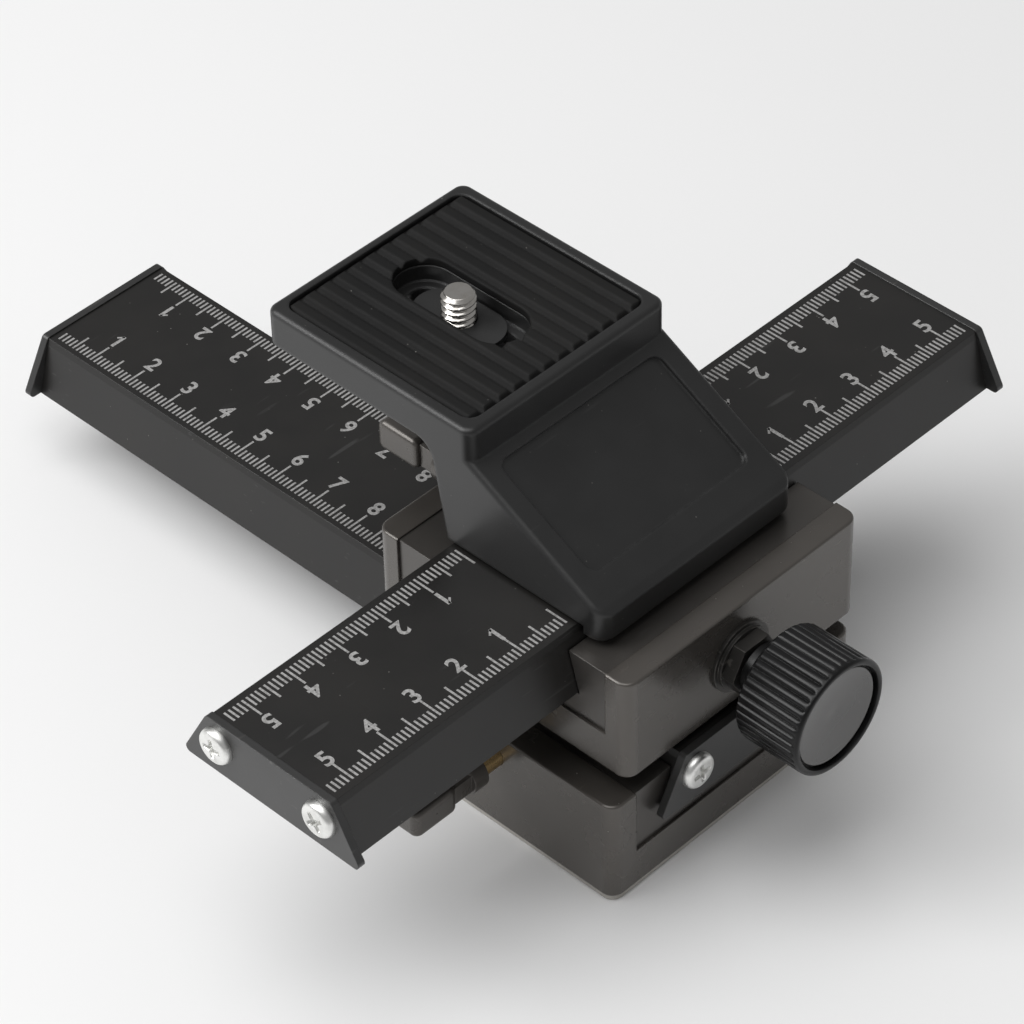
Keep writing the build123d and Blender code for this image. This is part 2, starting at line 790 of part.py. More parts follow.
def make_rail_screws(slide: Slide, tip_above_rail: float) -> Part:
    """Four screws up through the rail into what it carries, heads sunk in its underside."""
    places = rail_screw_places(slide)
    head_bottom = screw_head_recess - floor_screw_head_height
    with BuildPart() as screws:
        with BuildSketch(slide.plan(head_bottom, places.along)):
            with GridLocations(places.pitch_along, places.pitch_across, 2, 2):
                Circle(floor_screw_head_radius)
        extrude(amount=floor_screw_head_height - seat_gap)
        with BuildSketch(slide.plan(head_bottom, places.along)):
            with GridLocations(places.pitch_along, places.pitch_across, 2, 2):
                Circle(floor_screw_radius)
        extrude(amount=rail_height + tip_above_rail - head_bottom)
    return screws.part


save(make_rail_screws(lower, spacer_thickness + mount_screw_rise), "mount_screws")
save(make_rail_screws(upper, pedestal_screw_length / 2), "pedestal_screws")


# --- Pedestal ------------------------------------------------------------------------------------------------
slope_run = Vector(slope_top[0] - slope_start[0], slope_top[1] - slope_start[1])
slope_unit = slope_run.normalized()
slope_dir = Vector(0, slope_unit.X, slope_unit.Y)
slope_normal = Vector(0, -slope_unit.Y, slope_unit.X)
slope_rise = slope_unit.Y / slope_unit.X
lip_bottom = upper_rail_top - lip_bottom_drop
lip_inner = -(rail_shoulder_half + 2 * slide_gap)
platform_under = platform_top - platform_thickness
roof_drop = casing_wall / slope_unit.X
side_plane = Plane((pedestal_x - pedestal_width / 2, 0, 0), x_dir=(0, 1, 0), z_dir=(1, 0, 0))


def roof_height(across: float) -> float:
    """Height of the casing's inner roof under the sloped face."""
    return slope_start[1] + (across - slope_start[0]) * slope_rise - roof_drop


with BuildPart() as pedestal:
    with BuildSketch(side_plane):
        with BuildLine():
            Polyline(
                (lip_front, lip_bottom), (lip_front, lip_bottom + lip_height), slope_start,
                slope_top, (slope_top[0], platform_top), (platform_back, platform_top),
                (platform_back, platform_under), (wall_top_back, platform_under),
                (wall_foot_back, upper_rail_top), (lip_inner, upper_rail_top),
                (lip_inner, lip_bottom), close=True,
            )
        make_face()
    extrude(amount=pedestal_width)
    along_x = pedestal.edges().filter_by(Axis.X)
    neck_edge = along_x.sort_by_distance((pedestal_x, wall_top_back, platform_under))[0]
    fillet(neck_edge, radius=neck_round)
    upright = pedestal.edges().filter_by(Axis.Z)
    platform_corners = upright.group_by(Axis.Y)[-1]
    fillet(platform_corners, radius=pillar_corner)
    upright = pedestal.edges().filter_by(Axis.Z)
    lip_corners = upright.group_by(Axis.Y)[0]
    fillet(lip_corners, radius=lip_corner)
    pillar = pedestal.edges().filter_by(Axis.Z).filter_by_position(
        Axis.Y, slope_top[0] - seat_gap, slope_top[0] + seat_gap
    )
    fillet(pillar, radius=pillar_corner)
    sides = pedestal.faces().sort_by(Axis.X)
    fillet(sides[0].edges() + sides[-1].edges(), radius=edge_round)
    with BuildSketch(side_plane.offset(casing_wall)):
        with BuildLine():
            Polyline(
                (lip_inner + casing_wall / 2, upper_rail_top),
                (lip_inner + casing_wall / 2, roof_height(lip_inner + casing_wall / 2)),
                (slope_top[0], roof_height(slope_top[0])),
                (wall_top_back - rear_wall, roof_height(slope_top[0])),
                (wall_foot_back - casing_wall, upper_rail_top), close=True,
            )
        make_face()
    extrude(amount=pedestal_width - 2 * casing_wall, mode=Mode.SUBTRACT)
    for across in (-boss_spacing_across / 2, boss_spacing_across / 2):
        with BuildSketch(upper.plan(rail_height, pedestal_x, across)):
            with GridLocations(boss_spacing_along, 1, 2, 1):
                Circle(boss_radius)
        extrude(amount=roof_height(across) + boss_root - upper_rail_top)
    with BuildSketch(upper.plan(rail_height, pedestal_x)):
        with GridLocations(boss_spacing_along, boss_spacing_across, 2, 2):
            Circle(floor_screw_radius + seat_gap)
    extrude(amount=pedestal_screw_length / 2 + seat_gap, mode=Mode.SUBTRACT)
    panel_origin = Vector(pedestal_x, slope_start[0], slope_start[1])
    panel_centre = panel_origin + slope_dir * ((panel_start + panel_end) / 2)
    with BuildSketch(Plane(panel_centre, x_dir=(1, 0, 0), z_dir=slope_normal)):
        RectangleRounded(2 * panel_half_width, panel_end - panel_start, panel_corner)
    extrude(amount=-panel_depth, mode=Mode.SUBTRACT)
    pad_centre_y = platform_back - pad_recess_from_back - pad_recess_length / 2
    with BuildSketch(Plane((pedestal_x, pad_centre_y, platform_top - pad_recess_depth))):
        RectangleRounded(pad_recess_width, pad_recess_length, pad_recess_corner)
    extrude(amount=platform_thickness, mode=Mode.SUBTRACT)
    slot_top = platform_top - pad_recess_depth
    with BuildSketch(Plane((pedestal_x, slot_centre_y, slot_top))):
        SlotOverall(slot_length, slot_width, rotation=90)
    extrude(amount=-slot_depth, mode=Mode.SUBTRACT)
    with BuildSketch(Plane((pedestal_x, slot_centre_y, slot_top))):
        SlotOverall(inner_slot_length, inner_slot_width, rotation=90)
    extrude(amount=-platform_thickness, mode=Mode.SUBTRACT)
save(pedestal.part, "pedestal")


# --- Rubber pad, camera screw and its thumb wheel ---------------------------------------------------------------
with BuildPart() as rubber_pad:
    with BuildSketch(Plane((pedestal_x, pad_centre_y, slot_top))):
        RectangleRounded(
            pad_recess_width - 2 * pad_gap, pad_recess_length - 2 * pad_gap, pad_recess_corner
        )
    extrude(amount=pad_sheet)
    with BuildSketch(Plane((pedestal_x, pad_centre_y, slot_top + pad_sheet))):
        with GridLocations(ridge_pitch, 1, ridge_count, 1):
            Rectangle(ridge_width, pad_recess_length - 2 * ridge_end_inset)
    extrude(amount=ridge_rise, taper=ridge_taper)
    with BuildSketch(Plane((pedestal_x, pad_centre_y, slot_top))):
        RectangleRounded(
            pad_recess_width - 2 * pad_gap, pad_recess_length - 2 * pad_gap, pad_recess_corner
        )
    extrude(amount=pad_recess_depth, mode=Mode.INTERSECT)
    with BuildSketch(Plane((pedestal_x, slot_centre_y, slot_top))):
        SlotOverall(slot_length, slot_width, rotation=90)
    extrude(amount=pad_recess_depth + ridge_rise, mode=Mode.SUBTRACT)
save(rubber_pad.part, "rubber_pad")

ledge = slot_top - slot_depth
with BuildPart() as slot_washer:
    with BuildSketch(Plane((pedestal_x, camera_screw_y, ledge + seat_gap))):
        SlotOverall(slot_washer_length, slot_washer_width, rotation=90)
        Circle(camera_screw_radius + running_gap, mode=Mode.SUBTRACT)
    extrude(amount=slot_washer_thickness)
save(slot_washer.part, "slot_washer")

wheel_top = wheel_bottom + wheel_height
free_end = ledge + 2 * seat_gap + slot_washer_thickness + slide_gap
groove_radius = camera_screw_radius - groove_sink
screw_outline = [
    (0, wheel_bottom + wheel_grip), (camera_screw_radius, wheel_bottom + wheel_grip),
    (camera_screw_radius, free_end), (groove_radius, free_end + groove_sink),
    (groove_radius, free_end + groove_length - groove_sink),
    (camera_screw_radius, free_end + groove_length),
    (camera_screw_radius, camera_screw_tip - screw_chamfer),
    (camera_screw_radius - screw_chamfer, camera_screw_tip), (0, camera_screw_tip),
]
screw_axis = Axis((pedestal_x, camera_screw_y, 0), (0, 0, 1))
screw_side = Plane((pedestal_x, camera_screw_y, 0), x_dir=(1, 0, 0), z_dir=(0, -1, 0))
with BuildPart() as camera_screw:
    with BuildSketch(screw_side):
        with BuildLine():
            Polyline(*screw_outline, close=True)
        make_face()
    revolve(axis=screw_axis)
save(camera_screw.part, "camera_screw")

with BuildPart() as thumb_wheel:
    with BuildSketch(Plane((pedestal_x, camera_screw_y, wheel_bottom))):
        Circle(wheel_radius)
        with PolarLocations(wheel_radius, wheel_ribs):
            Circle(wheel_rib_radius, mode=Mode.SUBTRACT)
    extrude(amount=wheel_height)
    with BuildSketch(Plane((pedestal_x, camera_screw_y, wheel_top))):
        Circle(wheel_hub_radius)
    extrude(amount=platform_under - slide_gap - wheel_top)
    with BuildSketch(Plane((pedestal_x, camera_screw_y, wheel_bottom + wheel_grip))):
        Circle(camera_screw_radius + seat_gap)
    extrude(amount=platform_under - wheel_bottom, mode=Mode.SUBTRACT)
save(thumb_wheel.part, "thumb_wheel")
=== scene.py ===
"""Dresses the two-axis macro focusing rail: finishes, printed scales, screws, knobs and studio.

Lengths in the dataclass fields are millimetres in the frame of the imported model, with +Z up,
+Y along the lower rail and +X along the upper one. Meshes are made in metres.
"""

import json
import logging
import math
from dataclasses import dataclass, field
from enum import Enum
from typing import Any, Callable, Sequence

import bmesh
import bpy
from mathutils import Matrix, Vector

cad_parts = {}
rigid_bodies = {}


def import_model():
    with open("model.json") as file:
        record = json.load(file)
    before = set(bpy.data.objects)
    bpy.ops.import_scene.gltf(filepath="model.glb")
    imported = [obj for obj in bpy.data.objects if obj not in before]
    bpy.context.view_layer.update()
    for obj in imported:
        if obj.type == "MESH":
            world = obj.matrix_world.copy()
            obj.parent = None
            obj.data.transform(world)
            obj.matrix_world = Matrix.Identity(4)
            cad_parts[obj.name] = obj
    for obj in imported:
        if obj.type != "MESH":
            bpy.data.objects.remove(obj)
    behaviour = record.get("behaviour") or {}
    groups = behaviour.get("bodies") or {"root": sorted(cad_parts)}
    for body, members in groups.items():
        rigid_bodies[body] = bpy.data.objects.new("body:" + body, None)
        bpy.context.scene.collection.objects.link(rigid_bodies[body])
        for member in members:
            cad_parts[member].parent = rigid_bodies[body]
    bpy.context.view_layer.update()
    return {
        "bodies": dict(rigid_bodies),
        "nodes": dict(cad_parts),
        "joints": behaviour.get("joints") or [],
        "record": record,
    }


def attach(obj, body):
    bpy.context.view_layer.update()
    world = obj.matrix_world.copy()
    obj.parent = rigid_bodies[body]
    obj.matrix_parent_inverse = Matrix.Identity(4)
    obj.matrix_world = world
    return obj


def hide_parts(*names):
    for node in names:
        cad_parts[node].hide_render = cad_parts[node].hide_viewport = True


MM = 0.001
LOG = logging.getLogger("macro_rail")
Colour = tuple[float, float, float]
Band = tuple[float, float]


# --- Shader maths -------------------------------------------------------------------------
class Value:
    """A number that varies over a surface: a socket, with Python's operators."""

    def __init__(self, graph: "Graph", socket: bpy.types.NodeSocket) -> None:
        """Wrap a socket.

        Args:
            graph: The node graph that the socket belongs to.
            socket: The output socket that carries the number.
        """
        self.graph = graph
        self.socket = socket

    def _math(self, operation: str, first: Any, second: Any) -> "Value":
        """Add one Math node.

        Args:
            operation: The Math node's operation.
            first: The first operand.
            second: The second operand.

        Returns:
            The node's result.
        """
        made = self.graph.node("ShaderNodeMath", {"operation": operation}, {0: first, 1: second})
        return Value(self.graph, made.outputs[0])

    def __add__(self, other: Any) -> "Value":
        """Sum of two numbers."""
        return self._math("ADD", self, other)

    def __radd__(self, other: Any) -> "Value":
        """Sum of two numbers."""
        return self._math("ADD", other, self)

    def __sub__(self, other: Any) -> "Value":
        """Difference of two numbers."""
        return self._math("SUBTRACT", self, other)

    def __rsub__(self, other: Any) -> "Value":
        """Difference of two numbers."""
        return self._math("SUBTRACT", other, self)

    def __mul__(self, other: Any) -> "Value":
        """Product of two numbers."""
        return self._math("MULTIPLY", self, other)

    def __rmul__(self, other: Any) -> "Value":
        """Product of two numbers."""
        return self._math("MULTIPLY", other, self)

    def clamped(self) -> "Value":
        """This number kept between zero and one."""
        return self.stepped(0.0, 1.0)

    def stepped(self, low: float, high: float) -> "Value":
        """Ramp of this number between two limits.

        Args:
            low: Where the ramp starts.
            high: Where the ramp ends.

        Returns:
            Zero below low, one above high and a straight line between.
        """
        sockets = {"Value": self, "From Min": low, "From Max": high}
        made = self.graph.node("ShaderNodeMapRange", {"clamp": True}, sockets)
        return Value(self.graph, made.outputs[0])


class Graph:
    """The node graph of one material."""

    def __init__(self, name: str) -> None:
        """Start an empty material.

        Args:
            name: The material's name.
        """
        self.material = bpy.data.materials.new(name)
        self.material.use_nodes = True
        self.tree = self.material.node_tree
        self.tree.nodes.clear()

    def node(self, kind: str, settings: dict[str, Any], sockets: dict[Any, Any]) -> bpy.types.Node:
        """Add a node.

        Args:
            kind: The node's type.
            settings: Its properties, set first.
            sockets: Values or links of its input sockets, by name or number.

        Returns:
            The node.
        """
        made = self.tree.nodes.new(kind)
        for key, setting in settings.items():
            setattr(made, key, setting)
        for key, value in sockets.items():
            self.feed(made.inputs[key], value)
        return made

    def feed(self, target: bpy.types.NodeSocket, value: Any) -> None:
        """Set or link an input socket.

        Args:
            target: The input socket.
            value: A number, a colour, a Value or an output socket.
        """
        if isinstance(value, Value):
            value = value.socket
        if isinstance(value, bpy.types.NodeSocket):
            self.tree.links.new(value, target)
        elif isinstance(value, tuple) and len(value) == 3 and target.type == "RGBA":
            target.default_value = (*value, 1.0)
        else:
            target.default_value = value

    def position(self) -> bpy.types.NodeSocket:
        """Position on the piece in metres, which moves with the piece."""
        return self.node("ShaderNodeTexCoord", {}, {}).outputs["Object"]

    def stretched(self, scale: tuple[float, float, float]) -> bpy.types.NodeSocket:
        """Position on the piece, scaled along its axes.

        Args:
            scale: The factors along X, Y and Z.

        Returns:
            The scaled position.
        """
        sockets = {0: self.position(), 1: scale}
        return self.node("ShaderNodeVectorMath", {"operation": "MULTIPLY"}, sockets).outputs[0]

    def noise(self, per_mm: float, detail: float = 2.0, place: Any = None) -> Value:
        """Cloudy noise.

        Args:
            per_mm: Its features for each millimetre.
            detail: How many finer layers it holds.
            place: The position it is read at, if not the plain one.

        Returns:
            A number about one half.
        """
        sockets = {"Vector": place or self.position(), "Scale": per_mm / MM, "Detail": detail}
        made = self.node("ShaderNodeTexNoise", {"noise_dimensions": "3D"}, sockets)
        return Value(self, made.outputs["Fac"])

    def cells(self, per_mm: float) -> Value:
        """Distance to the nearest of scattered points.

        Args:
            per_mm: Points for each millimetre.

        Returns:
            The distance, in cells.
        """
        sockets = {"Vector": self.position(), "Scale": per_mm / MM}
        return Value(self, self.node("ShaderNodeTexVoronoi", {}, sockets).outputs["Distance"])

    def blend(self, mask: Any, first: Any, second: Any) -> bpy.types.NodeSocket:
        """Mix two colours.

        Args:
            mask: Zero for the first colour, one for the second.
            first: The first colour.
            second: The second colour.

        Returns:
            The mixed colour.
        """
        made = self.node("ShaderNodeMix", {"data_type": "RGBA"}, {"Factor": mask})
        self.feed(made.inputs[6], first)
        self.feed(made.inputs[7], second)
        return made.outputs[2]

    def rounded(self, radius: float) -> bpy.types.NodeSocket:
        """Surface normal, rounded over the edges.

        Args:
            radius: Radius of the rounding in millimetres.

        Returns:
            The normal.
        """
        made = self.node("ShaderNodeBevel", {"samples": 4}, {"Radius": radius * MM})
        return made.outputs[0]

    def relief(self, height: Value, depth: float, under: Any = None) -> bpy.types.NodeSocket:
        """Bump the surface.

        Args:
            height: The relief, from zero to one.
            depth: Its depth in millimetres.
            under: The normal that it is added to.

        Returns:
            The bumped normal.
        """
        sockets: dict[str, Any] = {"Height": height, "Distance": depth * MM}
        if under is not None:
            sockets["Normal"] = under
        return self.node("ShaderNodeBump", {}, sockets).outputs[0]

    def edge_mask(self, radius: float, low: float, high: float) -> Value:
        """Where the rounded normal leaves the true one, at the edges.

        Args:
            radius: Width of the edge band in millimetres.
            low: Start of the mask.
            high: Where the mask is full.

        Returns:
            One on edges, zero elsewhere.
        """
        true = self.node("ShaderNodeNewGeometry", {}, {}).outputs["True Normal"]
        sockets = {0: self.rounded(radius), 1: true}
        dot = self.node("ShaderNodeVectorMath", {"operation": "DOT_PRODUCT"}, sockets)
        return (1.0 - Value(self, dot.outputs["Value"])).stepped(low, high)

    def surface(self, **sockets: Any) -> bpy.types.Material:
        """Close the material with one principled shader.

        Args:
            **sockets: Its inputs, with underscores for spaces.

        Returns:
            The finished material.
        """
        named = {key.replace("_", " "): value for key, value in sockets.items()}
        shader = self.node("ShaderNodeBsdfPrincipled", {}, named)
        self.node("ShaderNodeOutputMaterial", {}, {"Surface": shader.outputs[0]})
        return self.material


# --- Finishes -----------------------------------------------------------------------------
@dataclass(frozen=True)
class WearPattern:
    """Where a coating's clouds, hairlines, dust and lighter edges lie; a band is a range of noise.
    The lighter edges are partly rubbed wear and partly a painted highlight.
    """

    cloud_per_mm: float = 0.06
    cloud_band: Band = (0.35, 0.65)
    hairline_per_mm: float = 1.4
    hairline_stretch: tuple[float, float, float] = (0.05, 0.35, 1.0)
    hairline_band: Band = (0.70, 0.74)
    hairline_patch_per_mm: float = 0.05
    hairline_patch_band: Band = (0.5, 0.62)
    dust_per_mm: float = 0.45
    dust_band: Band = (0.93, 0.97)
    dust_patch_per_mm: float = 0.2
    dust_patch_band: Band = (0.5, 0.6)
    dust_colour: Colour = (0.30, 0.29, 0.27)
    dust_roughness: float = 0.2
    # Lighter edges, in patches: partly rubbed wear, partly a painted highlight along the rounded
    # edges.
    edge_band: Band = (0.02, 0.2)
    worn_per_mm: float = 0.9
    worn_band: Band = (0.4, 0.7)
    smudge_per_mm: float = 0.12


WEAR = WearPattern()


@dataclass(frozen=True)
class Coating:
    """A dark coating or moulded plastic: colour, gloss, grain, smudges, scratches, dust and
    lighter edges, which are partly wear and partly a painted highlight.
    """

    name: str
    colour: Colour
    cloud_colour: Colour
    roughness: float
    smudge: float = 0.08
    grain_per_mm: float = 6.0
    grain_depth: float = 0.004
    # The edge colour and the edge amount lighten the edges: partly rubbed wear, partly a painted
    # highlight along the rounded edges.
    edge_radius: float = 0.25
    edge_colour: Colour = (0.10, 0.10, 0.10)
    edge_wear: float = 0.25
    scratch: float = 0.3
    dust: float = 0.3
    specular: float = 0.5
    tint: Colour = (1.0, 1.0, 1.0)
    metallic: float = 0.0

    def material(self) -> bpy.types.Material:
        """Build the material.

        Returns:
            The finished material.
        """
        graph = Graph(self.name)
        cloud = graph.noise(WEAR.cloud_per_mm, detail=3.0).stepped(*WEAR.cloud_band)
        fine = graph.noise(self.grain_per_mm, detail=3.0)
        colour = graph.blend(cloud, self.colour, self.cloud_colour)
        stretched = graph.stretched(WEAR.hairline_stretch)
        hairline = graph.noise(WEAR.hairline_per_mm, detail=1.0, place=stretched)
        scratched = graph.noise(WEAR.hairline_patch_per_mm).stepped(*WEAR.hairline_patch_band)
        scratches = hairline.stepped(*WEAR.hairline_band) * scratched
        colour = graph.blend(scratches * self.scratch, colour, self.edge_colour)
        dusty = graph.noise(WEAR.dust_patch_per_mm).stepped(*WEAR.dust_patch_band)
        specks = (1.0 - graph.cells(WEAR.dust_per_mm)).stepped(*WEAR.dust_band) * dusty
        colour = graph.blend(specks * self.dust, colour, WEAR.dust_colour)
        # Lighter colour in patches along the edges, concave ones too: partly rubbed wear, partly a
        # painted highlight.
        edge_patches = graph.noise(WEAR.worn_per_mm).stepped(*WEAR.worn_band)
        edge_wear_and_highlight_mask = graph.edge_mask(self.edge_radius, *WEAR.edge_band) * edge_patches
        colour = graph.blend(edge_wear_and_highlight_mask * self.edge_wear, colour, self.edge_colour)
        smudges = (graph.noise(WEAR.smudge_per_mm, detail=4.0) - 0.5) * (2 * self.smudge)
        roughness = (smudges + self.roughness + specks * WEAR.dust_roughness).clamped()
        normal = graph.relief(fine, self.grain_depth, graph.rounded(self.edge_radius))
        return graph.surface(
            Base_Color=colour, Roughness=roughness, Normal=normal,
            Metallic=self.metallic, Specular_IOR_Level=self.specular, Specular_Tint=self.tint,
        )


@dataclass(frozen=True)
class TurnedMetal:
    """Bare or plated metal with fine turning marks."""

    name: str
    colour: Colour
    stain_colour: Colour
    roughness: float
    marks_per_mm: float = 9.0
    marks_depth: float = 0.002
    marks_roughness: float = 0.06
    stain_per_mm: float = 0.5
    stain_band: Band = (0.45, 0.75)
    stain_roughness: float = 0.12
    edge_radius: float = 0.15

    def material(self) -> bpy.types.Material:
        """Build the material.

        Returns:
            The finished material.
        """
        graph = Graph(self.name)
        stains = graph.noise(self.stain_per_mm, detail=4.0).stepped(*self.stain_band)
        colour = graph.blend(stains, self.colour, self.stain_colour)
        marks = graph.noise(self.marks_per_mm)
        stained = stains * self.stain_roughness + self.roughness
        roughness = (stained + (marks - 0.5) * self.marks_roughness).clamped()
        normal = graph.relief(marks, self.marks_depth, graph.rounded(self.edge_radius))
        return graph.surface(Base_Color=colour, Roughness=roughness, Normal=normal, Metallic=1.0)


@dataclass(frozen=True)
class PrintedInk:
    """Screen-printed scale ink, slightly uneven and worn."""

    name: str
    colour: Colour
    thin_colour: Colour
    cover_per_mm: float = 2.4
    cover_band: Band = (0.32, 0.62)
    pinhole_per_mm: float = 7.0
    pinhole_band: Band = (0.68, 0.74)
    pinhole_share: float = 0.6
    grain_per_mm: float = 5.0
    grain_depth: float = 0.004
    roughness: float = 0.55

    def material(self) -> bpy.types.Material:
        """Build the material.

        Returns:
            The finished material.
        """
        graph = Graph(self.name)
        cover = graph.noise(self.cover_per_mm, detail=3.0).stepped(*self.cover_band)
        colour = graph.blend(cover, self.thin_colour, self.colour)
        pinholes = graph.noise(self.pinhole_per_mm, detail=1.0).stepped(*self.pinhole_band)
        colour = graph.blend(pinholes * self.pinhole_share, colour, self.thin_colour)
        normal = graph.relief(graph.noise(self.grain_per_mm), self.grain_depth)
        return graph.surface(Base_Color=colour, Roughness=self.roughness, Normal=normal)


class Palette:
    """Every finish of the rail, by the record's material slot."""

    # The washer in the camera-screw slot gets the near-black rack plastic instead of its own
    # finish: painted shade, so that the slot reads as dark depth.
    darker_nodes = {"slot_washer": "rack_plastic"}

    def __init__(self) -> None:
        """Build all the materials."""
        self.by_slot: dict[str, bpy.types.Material] = {
            "shell_black": Coating(
                "satin_enamel", (0.045, 0.041, 0.037), (0.054, 0.049, 0.044), 0.26,
                smudge=0.08, grain_per_mm=2.5, grain_depth=0.003, edge_radius=0.4,
                edge_colour=(0.12, 0.105, 0.09), edge_wear=0.2, scratch=0.35, dust=0.35,
                specular=0.95, tint=(1.0, 0.95, 0.90),
            ).material(),
            "liner_black": Coating(
                "liner_plastic", (0.033, 0.031, 0.029), (0.040, 0.037, 0.034), 0.30,
                specular=0.85, tint=(1.0, 0.95, 0.90),
            ).material(),
            "rail_black": Coating(
                "anodised_black", (0.009, 0.0085, 0.008), (0.012, 0.011, 0.010), 0.38,
                smudge=0.05, grain_per_mm=9.0, grain_depth=0.002, edge_radius=0.2,
                edge_wear=0.15, scratch=0.25, dust=0.5,
            ).material(),
            "rack_plastic": Coating(
                "acetal_rack", (0.02, 0.02, 0.02), (0.026, 0.026, 0.026), 0.45,
            ).material(),
            "plate_black": Coating(
                "painted_steel", (0.016, 0.016, 0.016), (0.022, 0.0215, 0.021), 0.38,
                grain_per_mm=3.0, grain_depth=0.006, edge_radius=0.3,
                edge_colour=(0.16, 0.15, 0.14), edge_wear=0.35, specular=0.75,
            ).material(),
            # The casing's lighter edges are mostly a painted highlight along the panel borders and
            # rims, with some wear.
            "pedestal_black": Coating(
                "casing_black", (0.014, 0.014, 0.014), (0.018, 0.018, 0.018), 0.34,
                smudge=0.06, grain_per_mm=4.0, grain_depth=0.003, edge_radius=0.8,
                edge_colour=(0.06, 0.06, 0.06), edge_wear=0.35, scratch=0.2, dust=0.45,
            ).material(),
            "rubber": Coating(
                "ribbed_rubber", (0.006, 0.006, 0.006), (0.009, 0.0087, 0.0083), 0.60,
                smudge=0.12, grain_per_mm=5.0, grain_depth=0.012, edge_radius=0.8,
                edge_colour=(0.02, 0.019, 0.018), edge_wear=0.3, scratch=0.1, dust=0.7,
                specular=0.22,
            ).material(),
            "knob_plastic": Coating(
                "knob_plastic", (0.004, 0.004, 0.0042), (0.006, 0.006, 0.0063), 0.30,
                grain_per_mm=5.0, grain_depth=0.003, edge_radius=0.15, specular=0.28,
            ).material(),
            "cap_grey": Coating(
                "cap_grey", (0.045, 0.043, 0.042), (0.055, 0.053, 0.052), 0.12,
                smudge=0.05, grain_depth=0.0006, edge_radius=0.2, scratch=0.4, dust=0.4,
                specular=0.9,
            ).material(),
            "bushing_black": Coating(
                "blackened_steel", (0.05, 0.048, 0.045), (0.08, 0.075, 0.07), 0.34,
                edge_colour=(0.35, 0.33, 0.30), edge_wear=0.5, metallic=0.6,
            ).material(),
            "lever_black": Coating(
                "lever_plastic", (0.050, 0.046, 0.042), (0.060, 0.055, 0.050), 0.28,
                grain_depth=0.001, specular=0.9, tint=(1.0, 0.95, 0.90),
            ).material(),
            "sole_grey": Coating(
                "foam_sheet", (0.42, 0.40, 0.37), (0.50, 0.48, 0.45), 0.70,
                grain_per_mm=3.0, grain_depth=0.03, edge_colour=(0.55, 0.53, 0.50),
            ).material(),
            "nylon": Coating(
                "natural_nylon", (0.62, 0.61, 0.56), (0.70, 0.69, 0.64), 0.45,
                edge_colour=(0.75, 0.74, 0.70),
            ).material(),
            "zinc_screw": TurnedMetal(
                "zinc_plate", (0.86, 0.86, 0.84), (0.70, 0.70, 0.68), 0.34,
            ).material(),
            "chrome_screw": TurnedMetal(
                "bright_nickel", (0.62, 0.60, 0.57), (0.50, 0.475, 0.44), 0.18,
                marks_per_mm=12.0, marks_depth=0.001,
            ).material(),
            "steel": TurnedMetal(
                "turned_steel", (0.60, 0.60, 0.60), (0.45, 0.45, 0.45), 0.30,
            ).material(),
            "brass": TurnedMetal(
                "turned_brass", (0.72, 0.52, 0.26), (0.52, 0.36, 0.17), 0.28,
            ).material(),
        }
        self.ink = PrintedInk(
            "scale_ink", (0.40, 0.395, 0.39), (0.22, 0.215, 0.21)
        ).material()

    def dress_nodes(self, frame: dict[str, Any]) -> None:
        """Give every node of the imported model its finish.
        """
        for entry in frame["record"]["subparts"]:
            node = frame["nodes"][entry["node"]]
            # A node listed for painted shade takes that darker finish instead of its own slot's.
            slot = self.darker_nodes.get(entry["node"], entry["material_slot"])
            finish = self.by_slot[slot]
            node.data.materials.clear()
            node.data.materials.append(finish)
            LOG.info("finish %s on %s", finish.name, entry["node"])


# --- Mesh making --------------------------------------------------------------------------
@dataclass(frozen=True)
class Placement:
    """Where a piece is drawn: an origin and three directions, in millimetres."""

    origin: Vector
    x_dir: Vector
    y_dir: Vector

    def at(self, x: float, y: float, z: float) -> Vector:
        """Point in metres from local millimetres."""
        z_dir = self.x_dir.cross(self.y_dir)
        return (self.origin + self.x_dir * x + self.y_dir * y + z_dir * z) * MM


